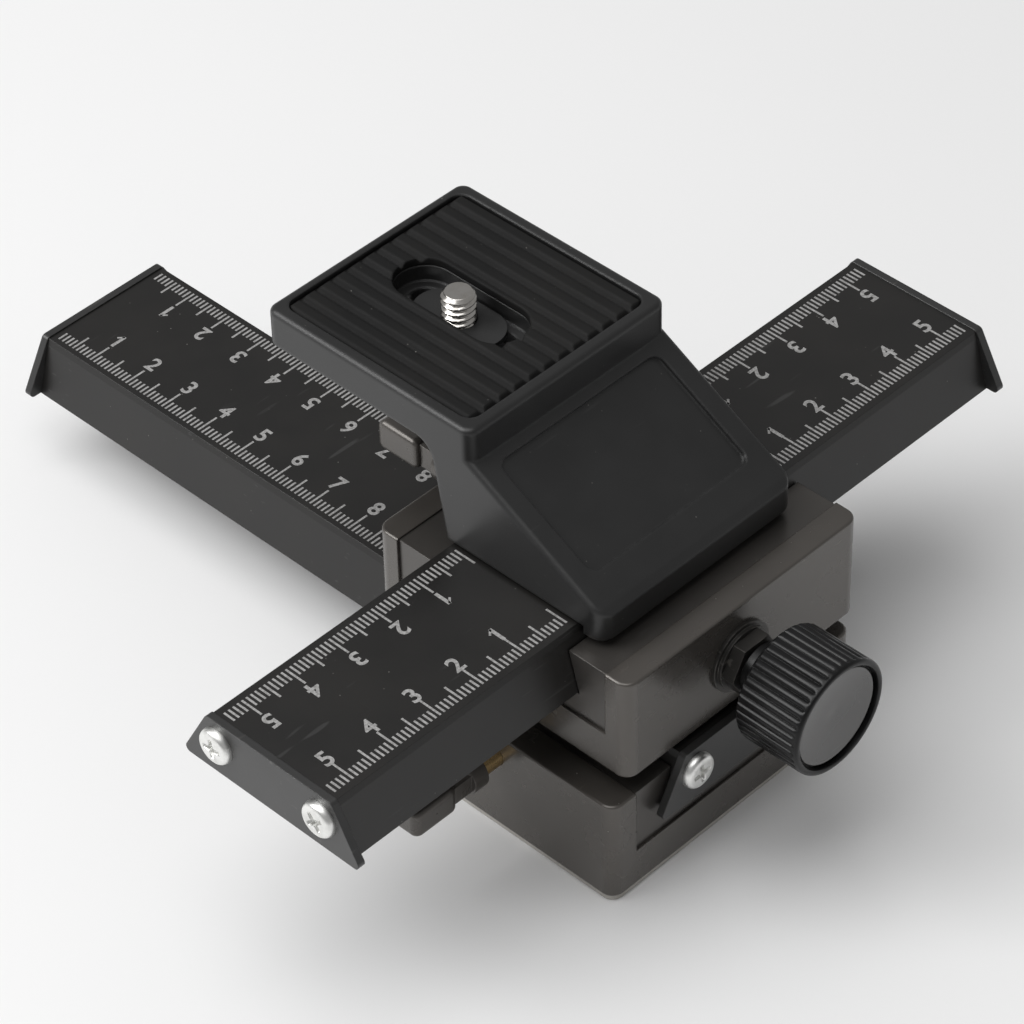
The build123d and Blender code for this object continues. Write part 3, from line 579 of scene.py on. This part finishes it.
class Piece:
    """A mesh in the making."""

    def __init__(self, name: str) -> None:
        """Start an empty mesh.

        Args:
            name: The piece's name.
        """
        self.name = name
        self.mesh = bmesh.new()

    def rings(self, rings: Sequence[Sequence[Vector]], close_ends: bool = True) -> None:
        """Skin closed rings of points, one after the other.

        Args:
            rings: The rings, all with as many points.
            close_ends: Whether the first and last ring get a face.
        """
        made = [[self.mesh.verts.new(point) for point in ring] for ring in rings]
        count = len(made[0])
        for lower, upper in zip(made, made[1:]):
            for step in range(count):
                after = (step + 1) % count
                self.mesh.faces.new((lower[step], lower[after], upper[after], upper[step]))
        if close_ends:
            self.mesh.faces.new(list(reversed(made[0])))
            self.mesh.faces.new(made[-1])

    def block(self, place: Placement, size: tuple[float, float, float], middle: Vector) -> None:
        """Add a thin rectangular slab, as a printed line is.

        Args:
            place: Where it is drawn.
            size: Its size along the placement's directions.
            middle: Its centre in the placement.
        """
        half = [value / 2 for value in size]
        loops = []
        for z in (-half[2], half[2]):
            corners = ((-1, -1), (1, -1), (1, 1), (-1, 1))
            loops.append([
                place.at(middle.x + sx * half[0], middle.y + sy * half[1], middle.z + z)
                for sx, sy in corners
            ])
        self.rings(loops)

    def finish(self, body: str, material: bpy.types.Material, slot: str,
               stands_for: Sequence[str] = (), smooth: float = 35.0) -> bpy.types.Object:
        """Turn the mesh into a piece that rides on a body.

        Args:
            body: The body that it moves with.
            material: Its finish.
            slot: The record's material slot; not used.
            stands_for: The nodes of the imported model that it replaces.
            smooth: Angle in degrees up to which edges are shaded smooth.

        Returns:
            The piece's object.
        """
        bmesh.ops.recalc_face_normals(self.mesh, faces=self.mesh.faces)
        data = bpy.data.meshes.new(self.name)
        self.mesh.to_mesh(data)
        self.mesh.free()
        data.materials.append(material)
        data.shade_smooth()
        data.set_sharp_from_angle(angle=math.radians(smooth))
        made = bpy.data.objects.new(self.name, data)
        bpy.context.scene.collection.objects.link(made)
        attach(made, body)
        if stands_for:
            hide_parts(*stands_for)
        LOG.info("piece %s: %d faces", self.name, len(data.polygons))
        return made


def ring_of(place: Placement, height: float, steps: int,
            radius_at: Callable[[float], float]) -> list[Vector]:
    """One ring about the placement's third direction.

    Args:
        place: Where the ring is drawn.
        height: Its height along the third direction.
        steps: How many points it has.
        radius_at: The radius at an angle in radians.

    Returns:
        The ring's points.
    """
    points = []
    for step in range(steps):
        angle = 2 * math.pi * step / steps
        radius = radius_at(angle)
        points.append(place.at(radius * math.cos(angle), radius * math.sin(angle), height))
    return points


def ribbed(ribs: int, sharpness: float, depth: float, radius: float) -> Callable[[float], float]:
    """Radius of a ring of rounded ribs with narrow grooves.

    Args:
        ribs: How many ribs there are.
        sharpness: Power of the ribs' wave; the smaller, the narrower the grooves.
        depth: Depth of the grooves.
        radius: Radius over the ribs.

    Returns:
        The radius as a function of the angle.
    """
    return lambda angle: radius - depth * (1 - abs(math.cos(angle * ribs / 2)) ** sharpness)


# --- Printed scales -----------------------------------------------------------------------
class Reading(Enum):
    """Which way a scale's digits are read, as the direction of the line of text."""

    FROM_FRONT = (Vector((1, 0, 0)), Vector((0, 1, 0)))
    FROM_BACK = (Vector((-1, 0, 0)), Vector((0, -1, 0)))
    FROM_LEFT = (Vector((0, -1, 0)), Vector((1, 0, 0)))
    FROM_RIGHT = (Vector((0, 1, 0)), Vector((-1, 0, 0)))


@dataclass(frozen=True)
class Scale:
    """One printed millimetre scale along an edge of a rail."""

    zero: Vector
    direction: Vector
    inward: Vector
    reading: Reading
    last_mark: int
    digit_inset: float
    pitch: float = 1.0
    first_mark: int = 0
    short_mark: float = 2.2
    half_mark: float = 4.1
    long_mark: float = 4.8
    line_width: float = 0.42
    ink_height: float = 0.02
    digit_size: float = 4.9
    digit_weight: float = 0.022
    flag_rise: float = 1.15
    flag_shift: float = 0.5
    flag_length: float = 1.5

    def draw(self, piece: Piece) -> None:
        """Add the scale's marks and digits to a piece.

        Args:
            piece: The mesh that the scale is added to.
        """
        for mark in range(self.first_mark, self.last_mark + 1):
            length = self.short_mark
            if mark % 5 == 0:
                length = self.half_mark
            if mark % 10 == 0:
                length = self.long_mark
            foot = self.zero + self.direction * (mark * self.pitch)
            place = Placement(foot, self.direction, self.inward)
            size = (self.line_width, length, self.ink_height)
            piece.block(place, size, Vector((0, length / 2, 0)))
            if mark % 10 == 0 and mark > 0:
                self._digit(piece, foot + self.inward * self.digit_inset, mark // 10)

    def _digit(self, piece: Piece, centre: Vector, number: int) -> None:
        """Add one digit.

        Args:
            piece: The mesh that it is added to.
            centre: Its middle.
            number: The digit.
        """
        curve = bpy.data.curves.new("digit", "FONT")
        curve.body = str(number)
        curve.size = self.digit_size * MM
        curve.offset = self.digit_weight * self.digit_size * MM
        curve.extrude = self.ink_height / 2 * MM
        curve.resolution_u = 4
        holder = bpy.data.objects.new("digit", curve)
        bpy.context.scene.collection.objects.link(holder)
        seen = holder.evaluated_get(bpy.context.evaluated_depsgraph_get())
        data = bpy.data.meshes.new_from_object(seen)
        low = Vector(min(v.co[axis] for v in data.vertices) for axis in range(3))
        high = Vector(max(v.co[axis] for v in data.vertices) for axis in range(3))
        x_dir, y_dir = self.reading.value
        turn = Matrix((x_dir, y_dir, x_dir.cross(y_dir))).transposed().to_4x4()
        data.transform(Matrix.Translation(-(low + high) / 2))
        data.transform(Matrix.Translation(centre * MM) @ turn)
        piece.mesh.from_mesh(data)
        if number == 1:
            slant = (x_dir + y_dir).normalized()
            flag = centre + y_dir * self.flag_rise - x_dir * self.flag_shift
            place = Placement(flag, slant, x_dir.cross(y_dir).cross(slant))
            piece.block(place, (self.flag_length, self.line_width, self.ink_height), Vector())
        bpy.data.objects.remove(holder)
        bpy.data.curves.remove(curve)
        bpy.data.meshes.remove(data)


@dataclass
class UpperScales:
    """The four scales of the upper rail: outwards from the pedestal, on both edges."""

    pedestal_x: float = 1.0
    zero_from_pedestal: float = 25.1
    marks: int = 54
    print_height: float = 51.91
    front_edge: float = -13.2
    back_edge: float = 13.2
    front_inset: float = 6.6
    back_inset: float = 7.0
    left_front_mark: float = 2.2
    other_mark: float = 2.6

    def build(self, ink: bpy.types.Material) -> bpy.types.Object:
        """Print the scales.

        Args:
            ink: The ink's material.

        Returns:
            The print's object.
        """
        piece = Piece("upper_rail_scale")
        height = self.print_height
        for side in (-1, 1):
            along = Vector((side, 0, 0))
            front_mark = self.left_front_mark if side < 0 else self.other_mark
            zero_x = self.pedestal_x + side * self.zero_from_pedestal
            front = Scale(
                Vector((zero_x, self.front_edge, height)), along, Vector((0, 1, 0)),
                Reading.FROM_FRONT, self.marks, self.front_inset, short_mark=front_mark,
            )
            back = Scale(
                Vector((zero_x, self.back_edge, height)), along, Vector((0, -1, 0)),
                Reading.FROM_BACK, self.marks, self.back_inset, short_mark=self.other_mark,
            )
            front.draw(piece)
            back.draw(piece)
        return piece.finish("stage", ink, "rail_black", smooth=1.0)


@dataclass
class LowerScales:
    """The two scales of the lower rail: from its long end towards the base, on both edges."""

    zero_y: float = 132.0
    marks: int = 98
    print_height: float = 25.91
    half_width: float = 13.4
    digit_inset: float = 7.2

    def build(self, ink: bpy.types.Material) -> bpy.types.Object:
        """Print the scales.

        Args:
            ink: The ink's material.

        Returns:
            The print's object.
        """
        piece = Piece("lower_rail_scale")
        for side, reading in ((-1, Reading.FROM_LEFT), (1, Reading.FROM_RIGHT)):
            zero = Vector((side * self.half_width, self.zero_y, self.print_height))
            scale = Scale(
                zero, Vector((0, -1, 0)), Vector((-side, 0, 0)),
                reading, self.marks, self.digit_inset, first_mark=1,
            )
            scale.draw(piece)
        return piece.finish("carriage", ink, "rail_black", smooth=1.0)


# --- Screws -------------------------------------------------------------------------------
@dataclass
class CrossHeadScrews:
    """Pan-head screws with a cross recess, at both ends of a rail."""

    name: str
    body: str
    seats: list[Placement]
    head_radius: float = 3.5
    head_height: float = 1.6
    shank_radius: float = 1.5
    shank_length: float = 10.4
    recess_half_width: float = 0.46
    recess_reach: float = 2.0
    recess_depth: float = 0.9
    recess_taper: float = 0.25
    wall_softness: float = 0.16
    end_softness: float = 0.35
    dome_flatness: int = 8
    dome_roundness: float = 0.4
    edge_height: float = 0.25
    inner_radius_step: float = 0.12
    inner_rings: int = 20
    outer_radii: tuple[float, ...] = (2.6, 2.9, 3.1, 3.25, 3.38, 3.46)
    steps: int = 128

    def head_height_at(self, radius: float, angle: float) -> float:
        """Height of the domed head, less its cross recess.

        Args:
            radius: Distance from the screw's axis.
            angle: Angle about the axis.

        Returns:
            The height above the seat.
        """
        share = min(1.0, radius / self.head_radius)
        dome = self.head_height * (1 - share ** self.dome_flatness) ** self.dome_roundness
        x = abs(radius * math.cos(angle))
        y = abs(radius * math.sin(angle))
        across, along = min(x, y), max(x, y)
        half = self.recess_half_width * (1 - self.recess_taper * along / self.recess_reach)
        wall = max(0.0, min(1.0, (half - across) / self.wall_softness + 0.5))
        end = max(0.0, min(1.0, (self.recess_reach - along) / self.end_softness))
        return max(self.edge_height, dome - self.recess_depth * wall * end)

    def build(self, material: bpy.types.Material) -> bpy.types.Object:
        """Make all the screws as one piece.

        Args:
            material: Their finish.

        Returns:
            The piece's object.
        """
        piece = Piece(self.name + "_detail")
        radii = [self.inner_radius_step * step for step in range(1, self.inner_rings + 1)]
        radii.extend(self.outer_radii)
        outline = (
            (-self.shank_length, self.shank_radius), (0.0, self.shank_radius),
            (0.0, self.head_radius), (self.edge_height, self.head_radius),
        )
        for seat in self.seats:
            rings = [
                ring_of(seat, height, self.steps, lambda angle, r=radius: r)
                for height, radius in outline
            ]
            rings.extend(self._dome_ring(seat, radius) for radius in reversed(radii))
            piece.rings(rings)
        return piece.finish(self.body, material, "zinc_screw", (self.name,), smooth=50.0)

    def _dome_ring(self, seat: Placement, radius: float) -> list[Vector]:
        """One ring of the domed head.

        Args:
            seat: Where the screw sits.
            radius: The ring's radius.

        Returns:
            The ring's points.
        """
        points = []
        for step in range(self.steps):
            angle = 2 * math.pi * step / self.steps
            height = self.head_height_at(radius, angle)
            points.append(seat.at(radius * math.cos(angle), radius * math.sin(angle), height))
        return points


FIRST_CROSS_TURN = 18
SECOND_CROSS_TURN = 31
END_CROSS_TURN = 12


def rail_seats(along: Vector, up: Vector, ends: tuple[float, float], height: float,
               half_spacing: float) -> list[Placement]:
    """Seats of the four plate screws of a rail, each with its cross turned another way.

    Args:
        along: Direction of the rail.
        up: The upward direction.
        ends: Outer faces of the end plates along the rail.
        height: Height of the screws.
        half_spacing: Half the distance between the screws of one plate.

    Returns:
        The seats, with their third direction outwards.
    """
    seats = []
    for end, outward in zip(ends, (-1, 1)):
        out = along * outward
        for index, side in enumerate((-1, 1)):
            across = up.cross(out)
            turn = FIRST_CROSS_TURN + SECOND_CROSS_TURN * index + END_CROSS_TURN * outward
            tilt = math.radians(turn)
            x_dir = across * math.cos(tilt) + up * math.sin(tilt)
            origin = along * end + across * (side * half_spacing) + up * height
            seats.append(Placement(origin, x_dir, out.cross(x_dir)))
    return seats


# --- Knobs --------------------------------------------------------------------------------
@dataclass
class DriveKnob:
    """A ribbed drive knob with its dished cap."""

    name: str
    body: str
    place: Placement
    radius: float = 11.3
    length: float = 14.0
    hub_radius: float = 5.0
    hub_length: float = 4.45
    ribs: int = 40
    rib_depth: float = 0.55
    rim: float = 1.25
    dish_depth: float = 1.5
    cap_gap: float = 0.45
    cap_sag: float = 0.7
    cap_rings: int = 14
    bore_radius: float = 2.1
    rib_sharpness: float = 0.55
    rib_steps: int = 10

    def build(self, plastic: bpy.types.Material, disc: bpy.types.Material) -> None:
        """Make the knob and its cap.

        Args:
            plastic: Finish of the knob.
            disc: Finish of the cap.
        """
        steps = self.ribs * self.rib_steps
        profile = [
            (-self.hub_length, self.bore_radius, 0.0),
            (-self.hub_length, self.hub_radius - 0.3, 0.0),
            (-self.hub_length + 0.3, self.hub_radius, 0.0), (-0.25, self.hub_radius, 0.0),
            (0.0, self.hub_radius + 0.3, 0.0), (0.0, self.radius - 1.3, 0.0),
            (0.12, self.radius - 0.75, 0.0), (0.45, self.radius - 0.25, 0.25 * self.rib_depth),
            (0.9, self.radius, self.rib_depth),
            (self.length - 1.5, self.radius, self.rib_depth),
            (self.length - 1.1, self.radius, 0.8 * self.rib_depth),
            (self.length - 0.75, self.radius - 0.02, 0.15 * self.rib_depth),
            (self.length - 0.45, self.radius - 0.06, 0.0),
            (self.length - 0.18, self.radius - 0.2, 0.0),
            (self.length, self.radius - 0.5, 0.0),
            (self.length, self.radius - self.rim + 0.25, 0.0),
            (self.length - 0.15, self.radius - self.rim + 0.05, 0.0),
            (self.length - self.dish_depth, self.radius - self.rim, 0.0),
            (self.length - self.dish_depth, self.bore_radius, 0.0),
        ]
        piece = Piece(self.name + "_detail")
        piece.rings([
            ring_of(self.place, height, steps,
                    ribbed(self.ribs, self.rib_sharpness, depth, radius))
            for height, radius, depth in profile
        ])
        piece.finish(self.body, plastic, "knob_plastic", (self.name,), smooth=40.0)
        self._cap(disc)

    def _cap(self, disc: bpy.types.Material) -> None:
        """Make the dished disc.

        Args:
            disc: Its finish.
        """
        outer = self.radius - self.rim - self.cap_gap
        top = self.length - 0.75
        profile = [(self.length - self.dish_depth + 0.02, outer), (top - 0.2, outer)]
        profile += [(top, outer - 0.2), (top, outer - 0.5)]
        for step in range(1, self.cap_rings):
            share = 1 - step / self.cap_rings
            radius = (outer - 0.5) * share
            profile.append((top - self.cap_sag * (1 - share ** 2), radius))
        piece = Piece(self.name + "_cap_detail")
        piece.rings([
            ring_of(self.place, height, 128, lambda angle, r=radius: r)
            for height, radius in profile
        ])
        piece.finish(self.body, disc, "cap_grey", (self.name + "_cap",), smooth=40.0)


@dataclass
class ThumbWheel:
    """The knurled wheel under the platform that turns the camera screw."""

    place: Placement
    radius: float = 11.0
    height: float = 6.5
    hub_radius: float = 5.5
    hub_top: float = 12.8
    bore_radius: float = 3.4
    ribs: int = 30
    rib_depth: float = 0.7
    rib_sharpness: float = 0.6
    rib_steps: int = 10

    def build(self, plastic: bpy.types.Material) -> None:
        """Make the wheel.

        Args:
            plastic: Its finish.
        """
        profile = [
            (0.0, self.bore_radius, 0.0),
            (0.0, self.radius - 1.4, 0.0), (0.25, self.radius - 0.7, 0.0),
            (0.8, self.radius, self.rib_depth), (self.height - 0.8, self.radius, self.rib_depth),
            (self.height - 0.25, self.radius - 0.7, 0.0), (self.height, self.radius - 1.4, 0.0),
            (self.height, self.hub_radius + 0.4, 0.0), (self.height + 0.4, self.hub_radius, 0.0),
            (self.hub_top - 0.3, self.hub_radius, 0.0), (self.hub_top, self.hub_radius - 0.3, 0.0),
            (self.hub_top, self.bore_radius, 0.0),
        ]
        piece = Piece("thumb_wheel_detail")
        piece.rings([
            ring_of(self.place, height, self.ribs * self.rib_steps,
                    ribbed(self.ribs, self.rib_sharpness, depth, radius))
            for height, radius, depth in profile
        ], close_ends=False)
        piece.finish("camera_screw_set", plastic, "knob_plastic", ("thumb_wheel",), smooth=40.0)


# --- Camera screw -------------------------------------------------------------------------
@dataclass
class CameraScrew:
    """The quarter-inch camera screw with its helical thread."""

    place: Placement
    bottom: float = 59.1
    tip: float = 81.4
    radius: float = 3.175
    pitch: float = 1.27
    depth: float = 0.62
    thread_start: float = 72.2
    run_in_turns: float = 0.8
    root_width: float = 0.12
    flank_width: float = 0.72
    crest_inset: float = 0.02
    neck_inset: float = 0.1
    chamfer: float = 0.75
    chamfer_slope: float = 1.1
    tip_rings: tuple[tuple[float, float], ...] = ((0.8, 0.0), (0.62, 0.02), (0.3, 0.04))
    steps: int = 72
    rings_per_turn: int = 16

    def radius_at(self, height: float, angle: float) -> float:
        """Radius of the screw, thread and tip chamfer included.

        Args:
            height: Height of the point.
            angle: Angle about the axis.

        Returns:
            The radius in millimetres.
        """
        if height < self.thread_start:
            return self.radius - self.neck_inset
        turn = (height / self.pitch - angle / (2 * math.pi)) % 1.0
        from_root = abs(turn - 0.5) * 2
        flank = min(1.0, max(0.0, (from_root - self.root_width) / self.flank_width))
        run_in = min(1.0, (height - self.thread_start) / (self.run_in_turns * self.pitch))
        threaded = self.radius - self.crest_inset - self.depth * (1 - flank) * run_in
        cone = self.radius - self.chamfer + (self.tip - height) * self.chamfer_slope
        return min(threaded, cone)

    def build(self, metal: bpy.types.Material) -> None:
        """Make the screw.

        Args:
            metal: Its finish.
        """
        piece = Piece("camera_screw_detail")
        count = int((self.tip - self.thread_start) / self.pitch * self.rings_per_turn)
        heights = [self.bottom, self.thread_start - 0.01]
        for step in range(count + 1):
            heights.append(self.thread_start + (self.tip - self.thread_start) * step / count)
        rings = []
        for height in heights:
            rings.append(ring_of(
                self.place, height, self.steps,
                lambda angle, h=height: self.radius_at(h, angle),
            ))
        for share, sink in self.tip_rings:
            radius = (self.radius - self.chamfer) * share
            rings.append(ring_of(
                self.place, self.tip - sink, self.steps, lambda angle, r=radius: r,
            ))
        piece.rings(rings)
        piece.finish("camera_screw_set", metal, "chrome_screw", ("camera_screw",), smooth=30.0)


# --- Studio -------------------------------------------------------------------------------
@dataclass(frozen=True)
class SoftLamp:
    """One square soft lamp: where it hangs and its side in millimetres, its power in watts."""

    name: str
    place: Vector
    side: float
    power: float


@dataclass
class Studio:
    """Pale floor, soft lamps and the camera at the photograph's viewing angle."""

    lamps: tuple[SoftLamp, ...] = (
        SoftLamp("key", Vector((-760, 700, 860)), 700, 8.8),
        SoftLamp("overhead", Vector((-350, 200, 1450)), 1300, 11.6),
    )
    lamp_aim: Vector = field(default_factory=lambda: Vector((0, 20, 30)))
    world_strength: float = 0.3
    floor_half: float = 3000.0
    floor_drop: float = 0.05
    floor_colours: tuple[Colour, Colour] = ((0.90, 0.90, 0.90), (0.92, 0.92, 0.92))
    floor_roughness: float = 0.6
    camera_place: Vector = field(default_factory=lambda: Vector((-401.57, -380.01, 550.39)))
    heading: float = 45.126
    pitch: float = 41.962
    roll: float = -1.520
    lens: float = 151.95

    def build(self) -> None:
        """Make the floor, the world, the lamps and the camera."""
        self._floor()
        self._world()
        for lamp in self.lamps:
            self._lamp(lamp)
        self._camera()

    def _floor(self) -> None:
        """A large pale floor under the sole."""
        graph = Graph("pale_floor")
        shade = graph.noise(0.004, 2.0).stepped(0.3, 0.7)
        colour = graph.blend(shade, *self.floor_colours)
        normal = graph.relief(graph.noise(0.8), 0.01)
        material = graph.surface(
            Base_Color=colour, Roughness=self.floor_roughness, Normal=normal,
        )
        piece = bmesh.new()
        bmesh.ops.create_grid(piece, x_segments=8, y_segments=8, size=self.floor_half * MM)
        data = bpy.data.meshes.new("studio_floor")
        piece.to_mesh(data)
        piece.free()
        data.materials.append(material)
        floor = bpy.data.objects.new("studio_floor", data)
        floor.location = (0, 0, -self.floor_drop * MM)
        bpy.context.scene.collection.objects.link(floor)

    def _world(self) -> None:
        """Dim even light from all sides."""
        world = bpy.data.worlds.new("studio_world")
        world.use_nodes = True
        background = world.node_tree.nodes["Background"]
        background.inputs["Color"].default_value = (1.0, 1.0, 1.0, 1.0)
        background.inputs["Strength"].default_value = self.world_strength
        bpy.context.scene.world = world

    def _lamp(self, soft: SoftLamp) -> None:
        """Add one lamp that points at the rail.

        Args:
            soft: The lamp's values.
        """
        light = bpy.data.lights.new(soft.name, "AREA")
        light.shape = "SQUARE"
        light.size = soft.side * MM
        light.energy = soft.power
        lamp = bpy.data.objects.new(soft.name, light)
        lamp.location = soft.place * MM
        lamp.rotation_mode = "QUATERNION"
        lamp.rotation_quaternion = (self.lamp_aim - soft.place).to_track_quat("-Z", "Y")
        bpy.context.scene.collection.objects.link(lamp)

    def _camera(self) -> None:
        """Add the camera, with the angles in degrees turned into its axes."""
        heading, pitch = math.radians(self.heading), math.radians(self.pitch)
        roll = math.radians(self.roll)
        forward = Vector((
            math.cos(heading) * math.cos(pitch), math.sin(heading) * math.cos(pitch),
            -math.sin(pitch),
        ))
        level = Vector((math.sin(heading), -math.cos(heading), 0))
        raised = level.cross(forward)
        right = level * math.cos(roll) + raised * math.sin(roll)
        up = right.cross(forward)
        turn = Matrix((right, up, -forward)).transposed()
        data = bpy.data.cameras.new("camera")
        data.lens = self.lens
        data.sensor_width = 36.0
        data.clip_start, data.clip_end = 0.05, 20.0
        camera = bpy.data.objects.new("camera", data)
        camera.matrix_world = Matrix.Translation(self.camera_place * MM) @ turn.to_4x4()
        bpy.context.scene.collection.objects.link(camera)
        bpy.context.scene.camera = camera
        bpy.context.scene.view_settings.view_transform = "Standard"


@dataclass(frozen=True)
class Layout:
    """Places of the pieces that are made here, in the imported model's frame."""

    upper_plate_faces: tuple[float, float] = (-80.8, 82.8)
    upper_screw_height: float = 47.2
    lower_plate_faces: tuple[float, float] = (-32.0, 134.0)
    lower_screw_height: float = 21.2
    screw_half_spacing: float = 12.2
    carriage_knob: tuple[float, float, float] = (1.0, -38.5, 37.6)
    base_knob: tuple[float, float, float] = (39.75, 14.0, 11.6)
    camera_screw: tuple[float, float] = (1.0, 36.0)
    wheel_bottom: float = 58.5


def main() -> None:
    """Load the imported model, dress it and set it in the studio."""
    logging.basicConfig(level=logging.INFO, format="%(message)s")
    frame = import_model()
    palette = Palette()
    palette.dress_nodes(frame)
    slots = palette.by_slot
    layout = Layout()
    right, ahead, up = Vector((1, 0, 0)), Vector((0, 1, 0)), Vector((0, 0, 1))
    UpperScales().build(palette.ink)
    LowerScales().build(palette.ink)
    upper_seats = rail_seats(
        right, up, layout.upper_plate_faces, layout.upper_screw_height, layout.screw_half_spacing,
    )
    lower_seats = rail_seats(
        ahead, up, layout.lower_plate_faces, layout.lower_screw_height, layout.screw_half_spacing,
    )
    zinc = slots["zinc_screw"]
    CrossHeadScrews("upper_rail_plate_screws", "stage", upper_seats).build(zinc)
    CrossHeadScrews("lower_rail_plate_screws", "carriage", lower_seats).build(zinc)
    plastic, disc = slots["knob_plastic"], slots["cap_grey"]
    front_hub = Placement(Vector(layout.carriage_knob), right, up)
    DriveKnob("carriage_knob", "carriage_drive", front_hub).build(plastic, disc)
    side_hub = Placement(Vector(layout.base_knob), ahead, up)
    DriveKnob("base_knob", "base_drive", side_hub).build(plastic, disc)
    screw_axis = Placement(Vector((*layout.camera_screw, 0.0)), right, ahead)
    CameraScrew(screw_axis).build(slots["chrome_screw"])
    wheel_foot = Placement(Vector((*layout.camera_screw, layout.wheel_bottom)), right, ahead)
    ThumbWheel(wheel_foot).build(plastic)
    Studio().build()


if __name__ == "__main__":
    main()
